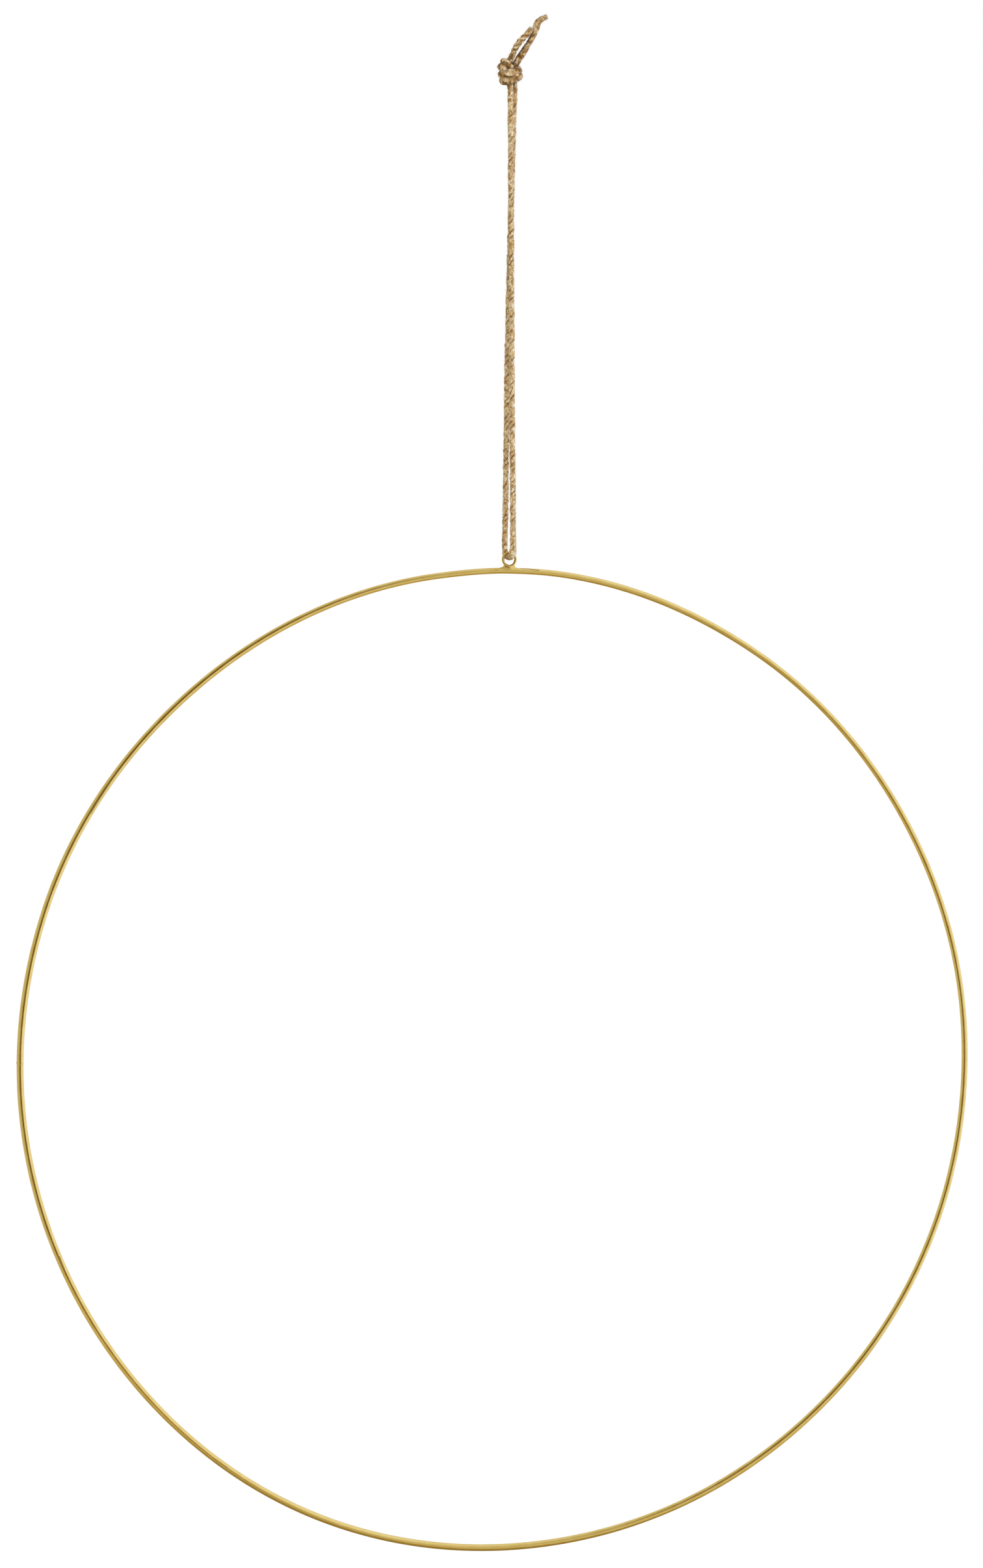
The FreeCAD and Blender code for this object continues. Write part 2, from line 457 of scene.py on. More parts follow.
def loop_and_strands():
    """The middle line of the loop, and those of the two strands in the tightened knot."""
    route = [np.array(point) * MM for point in ROUTE]
    loop = nurbs_line(route, RING_STEP)
    front = loop[loop[:, 2] > -9 * MM]
    half = len(front) // 2
    front, back = front[:half], front[half:][::-1]
    ends = [[strand[-1], strand[-1] / 2 + strand[0] / 2, strand[0]] for strand in (front, back)]
    strands = [knot_strand(ends[0], 1, LONG_TAIL), knot_strand(ends[1], -1, SHORT_TAIL)]
    held = [(strand[:, 2] < -2 * MM) | (strand[:, 2] > 19 * MM) for strand in strands]
    return loop, pull_tight(strands, held)


# ---------------------------------------------------------------- camera and cord line


def make_camera():
    """The camera, which sees the whole object."""
    back = Vector((math.sin(CAMERA_AZIMUTH) * math.cos(CAMERA_ELEVATION),
                   -math.cos(CAMERA_AZIMUTH) * math.cos(CAMERA_ELEVATION),
                   math.sin(CAMERA_ELEVATION)))
    level = Vector((math.cos(CAMERA_AZIMUTH), math.sin(CAMERA_AZIMUTH), 0))
    upright = back.cross(level)
    right = level * math.cos(CAMERA_ROLL) + upright * math.sin(CAMERA_ROLL)
    up = upright * math.cos(CAMERA_ROLL) - level * math.sin(CAMERA_ROLL)
    data = bpy.data.cameras.new("camera")
    data.lens = CAMERA_LENS
    data.sensor_width = 36
    data.clip_start, data.clip_end = 0.05, 50
    camera = add_object("camera", data)
    place = back * CAMERA_DISTANCE + right * CAMERA_ASIDE + up * CAMERA_UP
    camera.matrix_world = Matrix.Translation(place) @ Matrix((right, up, back)).transposed().to_4x4()
    bpy.context.scene.camera = camera


def soften(line, spread):
    """The line with its kinks eased: each point is averaged with those within spread metres."""
    reach = round(2.5 * spread / RING_STEP)
    weights = np.exp(-0.5 * (np.arange(-reach, reach + 1) * RING_STEP / spread) ** 2)
    padded = np.pad(line, ((reach, reach), (0, 0)), "edge")
    eased = [np.convolve(padded[:, k], weights / weights.sum(), "valid") for k in range(3)]
    return np.stack(eased, 1)


def whole_cord():
    """The cord's middle line from the long tail's tip through the knot, round the loop and back."""
    loop, (front, back) = loop_and_strands()
    hanging = loop[loop[:, 2] < front[0, 2] - LINK]
    line = evenly(np.concatenate([front[::-1], hanging, back]), RING_STEP)
    eased = soften(line, 0.9 * MM)
    share = smooth_step(line[:, 2], -20 * MM, -12 * MM)[:, None]
    return evenly(line + (eased - line) * share, RING_STEP)


make_camera()
CORD_LINE = whole_cord()
CORD_ALONG = along_line(CORD_LINE)
CORD_FRAMES = frames_along(CORD_LINE)


# ---------------------------------------------------------------- strands and hairs


def lumps(points, shortest, longest, seed):
    """Seeded smooth noise in space, about -1 to 1: waves of these lengths in all directions."""
    draws = np.random.default_rng(seed)
    total = np.zeros(points.shape[:-1])
    for _ in range(20):
        way = normalized(draws.normal(size=3)) * 2 * np.pi / draws.uniform(shortest, longest)
        total += np.sin(points @ way + draws.uniform(0, 6.28))
    return total / 5


def thickness(along):
    """How thick the cord is against its full size, at lengths along it."""
    places = np.array([place for place, _ in THICKNESS]) * MM
    return np.interp(along, places, [share for _, share in THICKNESS])


def ply_grooves(place, lay, full):
    """How deep the grooves between the plies are at each point, from 0 to 1."""
    matted = 0.15 + 0.85 * smooth_step(lumps(place, 2.2 * MM, 9 * MM, 8), -0.6, 0.7)
    matted = matted * (1 - 0.65 * smooth_step(full, 1.1, 1.35))
    return (1 - np.abs(np.cos(1.5 * lay))) ** 2 * matted


def rounded_ends(along):
    """The share of its radius that the cord has at lengths along it: less close to its two tips."""
    to_end = np.minimum(along - CORD_ALONG[0], CORD_ALONG[-1] - along)[:, None]
    return np.sqrt(np.clip(1 - (1 - np.clip(to_end / (1.3 * MM), 0.1, 1)) ** 2, 0, 1))


def cord_shade(line, place, crowd_shade):
    """How bright each point is painted, from 0 to 1: painted shade where other strands crowd close in
    front of it in the knot, and darker patches over the knot, less so up its tails.
    """
    knotted = smooth_step(line[:, 2], -6 * MM, 1 * MM)[:, None]
    # Darker patches painted over the knot, strongest in its body and less up its tails
    knot_darkening = 0.36 + 0.38 * smooth_step(line[:, 2], 23 * MM, 13 * MM)[:, None]
    knot_darkening = knot_darkening * smooth_step(lumps(place, 1.5 * MM, 5 * MM, 9), -0.8, 0.9)
    return 1 - knotted * (1 - (1 - knot_darkening) * (1 - crowd_shade))


def cord_rings(first, last):
    """Rings of the cord between two indices of its line, and how bright each of their points is painted:
    painted shade in the grooves between the plies and where strands crowd in the knot, and darker patches
    over the knot.
    """
    line = CORD_LINE[first:last + 1]
    along = CORD_ALONG[first:last + 1]
    _, normals, sides = (part[first:last + 1] for part in CORD_FRAMES)
    girth = np.linspace(0, 2 * np.pi, CORD_SIDES, endpoint=False)
    lay = girth - (2 * np.pi * along / LAY_LENGTH + wander(along, 31 * MM, 0.5, 5))[:, None]
    cross = normals[:, None] * np.cos(girth)[:, None] + sides[:, None] * np.sin(girth)[:, None]
    place = line[:, None] + cross * CORE_RADIUS
    full = thickness(along)[:, None]
    groove = ply_grooves(place, lay, full)
    radius = CORE_RADIUS * full + 0.05 * MM - GROOVE * groove
    for height, shortest, longest, seed in CORD_LUMPS:
        radius = radius + height * MM * lumps(place, shortest * MM, longest * MM, seed)
    radius = radius * rounded_ends(along)
    rings = line[:, None] + radius[..., None] * cross
    shade = cord_shade(line, place, crowding_shade(rings, cross, along))
    # Painted shade: the deeper a groove between the plies, the darker its colour
    return rings, along, (1 - groove) * shade


def crowding_shade(rings, outward, along):
    """How much of the cord lies close in front of each point, from 0 to 1: painted shade, darker where
    other strands crowd it.
    """
    total = np.zeros(rings.shape[:2])
    step = round(0.9 * MM / RING_STEP)
    for place, other in zip(CORD_LINE[::step], CORD_ALONG[::step]):
        near = np.flatnonzero(np.linalg.norm(rings[:, 0] - place, axis=1) < 9 * MM)
        near = near[np.abs(along[near] - other) > 5 * MM]
        if len(near):
            way = place - rings[near]
            far = np.linalg.norm(way, axis=2)
            facing = np.clip((way * outward[near]).sum(2) / far, 0, 1)
            total[near] += facing * smooth_step(far, 6.5 * MM, 1.5 * MM)
    return 0.85 * smooth_step(total, 0.8, 4.5)


def strand_piece(name, spans, material):
    """The cord between pairs of indices of its line."""
    parts = MeshParts()
    for first, last in spans:
        rings, along, painted_shade_and_darkening = cord_rings(first, last)
        parts.tube(rings, along, 2 * np.pi * CORE_RADIUS, extra=painted_shade_and_darkening)
    return parts.build(name, material, "painted_shade_and_darkening")


def grow(starts, ways, lengths, curls):
    """Hairs as rows of points: each bends by its curl and wavers a little as it grows."""
    rows, point, way = [starts], starts, ways
    for _ in range(HAIR_STEPS):
        way = normalized(way + curls / HAIR_STEPS + RANDOM.normal(0, 0.14, way.shape))
        point = point + way * lengths[:, None] / HAIR_STEPS
        rows.append(point)
    return np.stack(rows, 1)


def nap(first, last, per_metre, stray_share):
    """Points and thicknesses of the loose fibres between two indices of the cord's line."""
    number = round(per_metre * (CORD_ALONG[last] - CORD_ALONG[first]))
    tangents, normals, sides = CORD_FRAMES
    index = RANDOM.integers(first, last + 1, number)
    angle = RANDOM.uniform(0, 2 * np.pi, (number, 1))
    outward = np.cos(angle) * normals[index] + np.sin(angle) * sides[index]
    around = np.cross(tangents[index], outward)
    stray = (RANDOM.random(number) < stray_share)[:, None]
    lengths = np.where(stray[:, 0], RANDOM.uniform(1.6, 4.2, number),
                       0.5 + RANDOM.exponential(0.45, number)) * MM
    lift = np.where(stray, RANDOM.uniform(0.3, 1.0, (number, 1)), RANDOM.uniform(0.15, 0.9, (number, 1)))
    forward = RANDOM.choice((-1.0, 1.0), (number, 1))
    ways = tangents[index] * forward + lift * outward + RANDOM.normal(0, 0.5, (number, 1)) * around
    core = (CORE_RADIUS * thickness(CORD_ALONG[index]))[:, None]
    starts = CORD_LINE[index] + outward * (core - 0.12 * MM)
    curls = RANDOM.normal(0, 0.5, (number, 3)) - 0.5 * lift * outward
    thick = RANDOM.uniform(0.018, 0.040, number) * MM
    return grow(starts, normalized(ways), np.minimum(lengths, 4.2 * MM), curls), thick


def brush(end, number, longest):
    """Points and thicknesses of the cut fibres at an end: index 0, or the last one."""
    tangents, normals, sides = CORD_FRAMES
    out = tangents[end] * (-1 if end == 0 else 1)
    angle = RANDOM.uniform(0, 2 * np.pi, (number, 1))
    spread = np.sqrt(RANDOM.random((number, 1)))
    across = np.cos(angle) * normals[end] + np.sin(angle) * sides[end]
    starts = CORD_LINE[end] + across * spread * 0.9 * CORE_RADIUS - out * (0.2 + spread ** 2) * MM
    ways = normalized(out + across * spread * RANDOM.uniform(0.0, 0.8, (number, 1)))
    lengths = RANDOM.uniform(0.5, longest, number) * MM
    thick = RANDOM.uniform(0.03, 0.06, number) * MM
    return grow(starts, ways, lengths, RANDOM.normal(0, 0.4, (number, 3))), thick


def hair_rings(points, thick):
    """Rings of thin tubes along rows of points, which taper to the tip."""
    number, steps = points.shape[:2]
    tangents = normalized(np.gradient(points, axis=1))
    aside = normalized(np.cross(tangents, RANDOM.normal(size=(number, 1, 3))))
    across = np.cross(tangents, aside)
    girth = np.arange(HAIR_SIDES)[:, None] * 2 * np.pi / HAIR_SIDES
    radius = thick[:, None, None, None] * np.linspace(1, 0.35, steps)[:, None, None]
    return points[:, :, None] + radius * (aside[:, :, None] * np.cos(girth)
                                          + across[:, :, None] * np.sin(girth))


def hair_faces(number, steps):
    """Quads round these tubes, and the caps at their ends."""
    base = (np.arange(number) * steps * HAIR_SIDES)[:, None, None]
    step, corner = np.meshgrid(np.arange(steps - 1) * HAIR_SIDES, np.arange(HAIR_SIDES), indexing="ij")
    beside = (corner + 1) % HAIR_SIDES
    walls = [step + corner, step + beside, step + HAIR_SIDES + beside, step + HAIR_SIDES + corner]
    quads = np.stack([base + wall for wall in walls], -1).reshape(-1, 4)
    last = HAIR_SIDES * (steps - 1)
    caps = (base + np.array([[2, 1, 0], [last, last + 1, last + 2]])).reshape(-1, HAIR_SIDES)
    return quads.tolist(), caps.tolist()


def hair_piece(name, bunches, material):
    """One mesh of thin three-sided hairs."""
    points = np.concatenate([rows for rows, _ in bunches])
    thick = np.concatenate([values for _, values in bunches])
    number, steps = points.shape[:2]
    rings = hair_rings(points, thick)
    quads, caps = hair_faces(number, steps)
    mesh = bpy.data.meshes.new(name)
    mesh.from_pydata(rings.reshape(-1, 3).tolist(), [], quads + caps)
    shade = np.repeat(RANDOM.random(number), steps * HAIR_SIDES).astype(np.float32)
    mesh.attributes.new("shade", "FLOAT", "POINT").data.foreach_set("value", shade)
    mesh.polygons.foreach_set("use_smooth", [True] * len(quads) + [False] * len(caps))
    mesh.materials.append(material)
    return add_object(name, mesh)


# ---------------------------------------------------------------- hoop, eyelet and braze


def round_the_clock(clock, stops):
    """Values that pass smoothly through stops of (angle in degrees, value), at clock angles in radians."""
    angles = np.array([place for place, _ in stops], float)
    values = np.tile([value for _, value in stops], 3)
    angles = np.concatenate([angles - 360, angles, angles + 360])
    degrees = np.degrees(clock) % 360
    after = np.searchsorted(angles, degrees, "right")
    share = smooth_step((degrees - angles[after - 1]) / (angles[after] - angles[after - 1]), 0, 1)
    return values[after - 1] + (values[after] - values[after - 1]) * share


def hoop_line(clock):
    """Middle of the hoop's wire and its outward way, at clock angles in radians."""
    outward = np.stack([np.sin(clock), np.zeros_like(clock), np.cos(clock)], -1)
    radius = HOOP_RADIUS + round_the_clock(clock, HOOP_SWAYS) * MM
    line = radius[..., None] * outward
    line[..., 1] += HOOP_WARP * np.sin(2 * clock + 0.7) * np.sin(clock / 2)
    line[..., 2] += HOOP_CENTRE
    return line, outward


def hoop_top():
    """How high the middle of the hoop's wire is at its top."""
    return hoop_line(np.zeros(1))[0][0, 2]


def wire_rings(line, outward, radius):
    """Rings of a wire in the hoop's plane; radius is one number or one for each ring and side."""
    girth = np.linspace(0, 2 * np.pi, WIRE_SIDES, endpoint=False)[:, None]
    forward = np.array([0.0, -1.0, 0.0])
    cross = outward[:, None] * np.cos(girth) + forward * np.sin(girth)
    return line[:, None] + np.broadcast_to(radius, (len(line), WIRE_SIDES))[..., None] * cross


def make_hoop(material):
    """The hoop's wire, drawn a little unevenly and bent by hand."""
    clock = np.linspace(0, 2 * np.pi, HOOP_RINGS, endpoint=False)
    line, outward = hoop_line(clock)
    along = clock * HOOP_RADIUS
    radius = HOOP_WIRE / 2 * round_the_clock(clock, HOOP_THINNING) * (1 + wander(along, 0.09, 0.006, 3))
    parts = MeshParts()
    rings = wire_rings(line, outward, radius[:, None])
    parts.tube(rings, along, np.pi * HOOP_WIRE, closed=True)
    return parts.build("hoop_ring", material)


def make_weld(material):
    """The bead where the hoop's wire was joined, at nine o'clock."""
    clock = 1.5 * np.pi + np.linspace(-1, 1, WELD_RINGS) * WELD_LENGTH / 2 / HOOP_RADIUS
    line, outward = hoop_line(clock)
    along = (clock - clock[0]) * HOOP_RADIUS
    crown = np.sin(np.linspace(0.12, np.pi - 0.12, WELD_RINGS)) ** 0.7
    girth = np.linspace(0, 2 * np.pi, WIRE_SIDES, endpoint=False)
    uneven = 0.35 + 0.3 * np.sin(girth + 0.6) + 0.2 * np.sin(3 * girth + 2)
    radius = HOOP_WIRE / 2 * 0.985 + crown[:, None] * uneven * 0.26 * MM
    parts = MeshParts()
    parts.tube(wire_rings(line, outward, radius), along, np.pi * HOOP_WIRE)
    return parts.build("hoop_weld_bead", material)


def make_eyelet(material):
    """The small ring on top of the hoop."""
    clock = np.linspace(0, 2 * np.pi, EYELET_RINGS, endpoint=False)
    outward = np.stack([np.sin(clock), np.zeros_like(clock), np.cos(clock)], -1)
    radius = EYELET_RADIUS * (1 + 0.012 * np.sin(2 * clock + 1) + 0.008 * np.sin(3 * clock))
    line = radius[:, None] * outward
    line[:, 1] += 0.06 * MM * np.sin(clock + 0.5)
    line[:, 2] += EYELET_CENTRE
    along = clock * EYELET_RADIUS
    thick = EYELET_WIRE / 2 * (1 + 0.03 * np.sin(4 * clock) + 0.02 * np.sin(7 * clock + 2))
    parts = MeshParts()
    parts.tube(wire_rings(line, outward, thick[:, None]), along, np.pi * EYELET_WIRE, closed=True)
    return parts.build("eyelet_loop", material)


def smooth_min(a, b, reach):
    """The smaller of two values, rounded off where they are within reach of each other."""
    share = np.clip(0.5 + 0.5 * (b - a) / reach, 0, 1)
    return b + (a - b) * share - reach * share * (1 - share)


def braze_field(points):
    """Less than zero inside the brazing metal: a saddle on the hoop, run up between it and the eyelet."""
    across, ahead, up = points[..., 0], points[..., 1], points[..., 2]
    top = hoop_top()
    high = np.hypot(across, up - HOOP_CENTRE) - (top - HOOP_CENTRE)
    from_hoop = np.hypot(high, ahead)
    crest = high / np.maximum(from_hoop, 1e-6)
    foot = np.where(across < 0, LEFT_FOOT, RIGHT_FOOT)
    coat = 0.30 * MM * (1 - (across / foot) ** 2) - 0.32 * MM * (1 - crest)
    ripple = 0.05 * MM * np.sin(across / MM * 1.9 + 1) * np.sin(ahead / MM * 2.3 + up / MM * 1.4)
    saddle = from_hoop - HOOP_TOP_RADIUS - coat
    from_eyelet = np.hypot(np.hypot(across, up - EYELET_CENTRE) - EYELET_RADIUS, ahead)
    climb = up - (top + HOOP_TOP_RADIUS)
    sleeve = from_eyelet - EYELET_WIRE / 2 - 0.26 * MM + 0.5 * MM * smooth_step(climb, 0.5 * MM, 2.0 * MM)
    web = np.sqrt((across / 3.1) ** 2 + (ahead / 0.95) ** 2 + ((climb - 0.3 * MM) / 0.85) ** 2) - MM
    nick = np.linalg.norm(points - BRAZE_NICK - np.array([0, 0, top]), axis=-1) - NICK_RADIUS
    body = smooth_min(smooth_min(saddle, sleeve, 1.1 * MM), web * 0.9, 0.8 * MM)
    return np.maximum(body + ripple, -nick)


def skin(field, low, high, step):
    """The surface where field is zero, as points and quads: one point in each cell that it crosses."""
    axes = [np.arange(a, b, step) for a, b in zip(low, high)]
    grid = np.stack(np.meshgrid(*axes, indexing="ij"), -1)
    inside = field(grid) < 0
    cells = np.array(inside.shape) - 1
    corners = [inside[i:cells[0] + i, j:cells[1] + j, k:cells[2] + k]
               for i in (0, 1) for j in (0, 1) for k in (0, 1)]
    crossed = np.any(corners, 0) & ~np.all(corners, 0)
    index = np.full(crossed.shape, -1)
    index[crossed] = np.arange(crossed.sum())
    points = low + (np.argwhere(crossed) + 0.5) * step
    quads = []
    for axis in range(3):
        u, v = (axis + 1) % 3, (axis + 2) % 3
        here = np.moveaxis(inside, (axis, u, v), (0, 1, 2))
        number = np.moveaxis(index, (axis, u, v), (0, 1, 2))
        change = here[1:, 1:-1, 1:-1] != here[:-1, 1:-1, 1:-1]
        a, b, c = np.argwhere(change).T
        b, c = b + 1, c + 1
        loop = np.stack([number[a, b - 1, c - 1], number[a, b, c - 1], number[a, b, c],
                         number[a, b - 1, c]], 1)
        backward = ~here[a, b, c]
        loop[backward] = loop[backward, ::-1]
        quads.append(loop)
    quads = np.concatenate(quads)
    return settle(field, points, quads, step), quads


def settle(field, points, quads, step):
    """Points evened out along the surface and moved onto it."""
    edges = np.concatenate([quads[:, [k, (k + 1) % 4]] for k in range(4)])
    tiny = 0.02 * step
    for _ in range(6):
        total, count = np.zeros_like(points), np.zeros(len(points))
        for a, b in (edges.T, edges.T[::-1]):
            np.add.at(total, a, points[b])
            np.add.at(count, a, 1)
        points = 0.5 * points + 0.5 * total / count[:, None]
        for _ in range(2):
            value = field(points)
            slope = np.stack([(field(points + tiny * way) - value) / tiny for way in np.eye(3)], 1)
            move = value[:, None] * slope / np.maximum((slope ** 2).sum(1), 0.05)[:, None]
            points = points - np.clip(move, -0.7 * step, 0.7 * step)
    return points


def make_braze(material):
    """The brazing metal that holds the eyelet on the hoop."""
    middle = np.array([0, 0, hoop_top() + HOOP_TOP_RADIUS])
    points, quads = skin(braze_field, middle - BRAZE_REACH, middle + BRAZE_REACH, BRAZE_GRID)
    mesh = bpy.data.meshes.new("braze")
    mesh.from_pydata(points.tolist(), [], quads.tolist())
    mesh.polygons.foreach_set("use_smooth", [True] * len(mesh.polygons))
    mesh.materials.append(material)
    return add_object("eyelet_braze_fillet", mesh)


# ---------------------------------------------------------------- materials


def new_material(name):
    """A material with an empty node tree, and the tree."""
    material = bpy.data.materials.new(name)
    material.use_nodes = True
    material.node_tree.nodes.clear()
    return material, material.node_tree


def finish_material(tree, shader):
    """Makes the shader the material's surface."""
    node(tree, "ShaderNodeOutputMaterial", {"Surface": shader})


def metres_uv(tree):
    """U and V in metres."""
    uv = node(tree, "ShaderNodeTexCoord").outputs["UV"]
    split = node(tree, "ShaderNodeSeparateXYZ", {"Vector": uv})
    return split.outputs["X"], split.outputs["Y"]


def stretched(tree, u, v, per_u, per_v, shift=0.0):
    """A vector for a texture with per_u and per_v features to the metre."""
    inputs = {"X": arithmetic(tree, "MULTIPLY", u, per_u),
              "Y": arithmetic(tree, "MULTIPLY", v, per_v), "Z": shift}
    return node(tree, "ShaderNodeCombineXYZ", inputs).outputs[0]


def jute_material():
    """Unbleached jute yarn: pale and tan fibres, brown flecks, painted shade between the plies and in the
    crowded knot, and darker patches over the knot.
    """
    material, tree = new_material("jute")
    u, v = metres_uv(tree)
    place = node(tree, "ShaderNodeTexCoord").outputs["Object"]
    fibres = noise(tree, stretched(tree, u, v, 420, 6500), 1, 4, 0.65)
    tufts = noise(tree, place, 950, 3, 0.6, 0.6)
    both = arithmetic(tree, "ADD", arithmetic(tree, "MULTIPLY", fibres, 0.5),
                      arithmetic(tree, "MULTIPLY", tufts, 0.5))
    colour = ramp(tree, both, [(0.38, JUTE_SHADE), (0.45, JUTE_TAN), (0.53, JUTE_STRAW),
                               (0.62, JUTE_PALE)])
    blotches = ramp(tree, noise(tree, place, 260, 3, 0.6), [(0.38, JUTE_TINT), (0.58, (1.0, 1.0, 1.0))])
    colour = mixed(tree, 1.0, colour, blotches, "MULTIPLY")
    rust = ramp(tree, noise(tree, place, 430, 2, 0.5, 0.4), [(0.57, 0.0), (0.66, 0.55)])
    colour = mixed(tree, rust, colour, JUTE_RUST)
    cream = ramp(tree, noise(tree, place, 340, 3, 0.6, 0.8), [(0.54, 0.0), (0.64, 0.6)])
    colour = mixed(tree, cream, colour, JUTE_PALE)
    flecks = ramp(tree, noise(tree, stretched(tree, u, v, 800, 2400, 7), 1, 2, 0.5),
                  [(0.63, 0.0), (0.70, 1.0)])
    colour = mixed(tree, arithmetic(tree, "MULTIPLY", flecks, 0.8), colour, JUTE_FLECK)
    # Painted shade: this ramp darkens the grooves between the plies and the crowded knot, and adds the
    # knot's darker patches
    painted_shade_and_darkening = node(tree, "ShaderNodeAttribute", attribute_name="painted_shade_and_darkening").outputs["Fac"]
    shade_and_darkening_tint = ramp(tree, painted_shade_and_darkening, [(0.15, (0.22, 0.14, 0.07)), (0.55, (0.56, 0.43, 0.28)),
                                  (0.9, (1.0, 1.0, 1.0))])
    colour = mixed(tree, 1.0, colour, shade_and_darkening_tint, "MULTIPLY")
    height = arithmetic(tree, "ADD", fibres, tufts)
    bump = node(tree, "ShaderNodeBump", {"Strength": 0.9, "Distance": 0.00022, "Height": height})
    shader = node(tree, "ShaderNodeBsdfPrincipled",
                  {"Base Color": colour, "Roughness": 0.85, "Specular IOR Level": 0.2,
                   "Sheen Weight": 0.3, "Sheen Roughness": 0.35, "Normal": bump.outputs[0]})
    finish_material(tree, shader.outputs[0])
    return material


def hair_material():
    """Single loose jute fibres, each its own shade."""
    material, tree = new_material("jute_fibres")
    shade = node(tree, "ShaderNodeAttribute", attribute_name="shade").outputs["Fac"]
    colour = ramp(tree, shade, [(0.0, (0.30, 0.19, 0.08)), (0.35, (0.56, 0.43, 0.25)),
                                (1.0, (0.86, 0.78, 0.60))])
    shader = node(tree, "ShaderNodeBsdfPrincipled",
                  {"Base Color": colour, "Roughness": 0.7, "Specular IOR Level": 0.3})
    finish_material(tree, shader.outputs[0])
    return material


def line_mark(tree, u, v, start, end, width):
    """A wavering line in UV from start to end, in metres: 1 on the line and 0 off it."""
    (u0, v0), (u1, v1) = start, end
    whole = 2 * math.pi * HOOP_RADIUS if u0 < 0 else 0
    u0, u1 = u0 + whole, u1 + whole
    share = arithmetic(tree, "DIVIDE", arithmetic(tree, "SUBTRACT", u, u0), u1 - u0)
    middle = arithmetic(tree, "MULTIPLY_ADD", share, v1 - v0, v0)
    waver = noise(tree, stretched(tree, u, v, 700, 0), 1, 2)
    middle = arithmetic(tree, "MULTIPLY_ADD", waver, 1.5 * width, middle)
    away = arithmetic(tree, "ABSOLUTE", arithmetic(tree, "SUBTRACT", v, middle))
    on_line = node(tree, "ShaderNodeMapRange",
                   {"Value": away, "From Min": width, "From Max": width / 3}).outputs[0]
    inside = arithmetic(tree, "MULTIPLY", arithmetic(tree, "GREATER_THAN", share, 0.0),
                        arithmetic(tree, "LESS_THAN", share, 1.0))
    return arithmetic(tree, "MULTIPLY", on_line, inside)


def brass_material(name, roughness, wear, marks=()):
    """Polished, handled brass: lines drawn along the wire, nicks, brown pits and the given marks."""
    material, tree = new_material(name)
    u, v = metres_uv(tree)
    place = node(tree, "ShaderNodeTexCoord").outputs["Object"]
    clouds = noise(tree, place, 160, 4, 0.6)
    drawn = noise(tree, stretched(tree, u, v, 55, 9000), 1, 3, 0.6)
    nicks = noise(tree, stretched(tree, u, v, 3800, 900, 5), 1, 2, 0.5)
    pits = ramp(tree, noise(tree, place, 1500, 2, 0.5, 0.4), [(0.70, 0.0), (0.76, 1.0)])
    colour = ramp(tree, clouds, [(0.35, BRASS_WARM), (0.62, BRASS)])
    dark = arithmetic(tree, "MULTIPLY", pits, 0.7 * wear)
    grooves = pits
    for start, end, width in marks:
        mark = line_mark(tree, u, v, start, end, width)
        dark = arithmetic(tree, "MAXIMUM", dark, arithmetic(tree, "MULTIPLY", mark, 0.9))
        grooves = arithmetic(tree, "MAXIMUM", grooves, mark)
    colour = mixed(tree, dark, colour, BRASS_STAIN)
    rough = arithmetic(tree, "MULTIPLY_ADD", clouds, 0.16, roughness - 0.08)
    rough = arithmetic(tree, "MULTIPLY_ADD", dark, 0.25, rough)
    height = arithmetic(tree, "MULTIPLY_ADD", nicks, 0.35, arithmetic(tree, "MULTIPLY", drawn, 0.5))
    height = arithmetic(tree, "MULTIPLY_ADD", clouds, 0.8 * wear, height)
    height = arithmetic(tree, "MULTIPLY_ADD", grooves, -1.6, height)
    bump = node(tree, "ShaderNodeBump", {"Strength": 0.35, "Distance": 0.00006, "Height": height})
    shader = node(tree, "ShaderNodeBsdfPrincipled",
                  {"Base Color": colour, "Metallic": 1.0, "Roughness": rough,
                   "Coat Weight": 0.12, "Coat Roughness": 0.15, "Normal": bump.outputs[0]})
    finish_material(tree, shader.outputs[0])
    return material


# ---------------------------------------------------------------- surroundings


def white_to_camera(tree, shader, kind):
    """The shader, but plain white light of this kind of node where the camera sees it directly."""
    white = node(tree, kind, {"Color": (1, 1, 1, 1), "Strength": 1.0})
    seen = node(tree, "ShaderNodeLightPath").outputs["Is Camera Ray"]
    return node(tree, "ShaderNodeMixShader", {0: seen, 1: shader, 2: white.outputs[0]}).outputs[0]


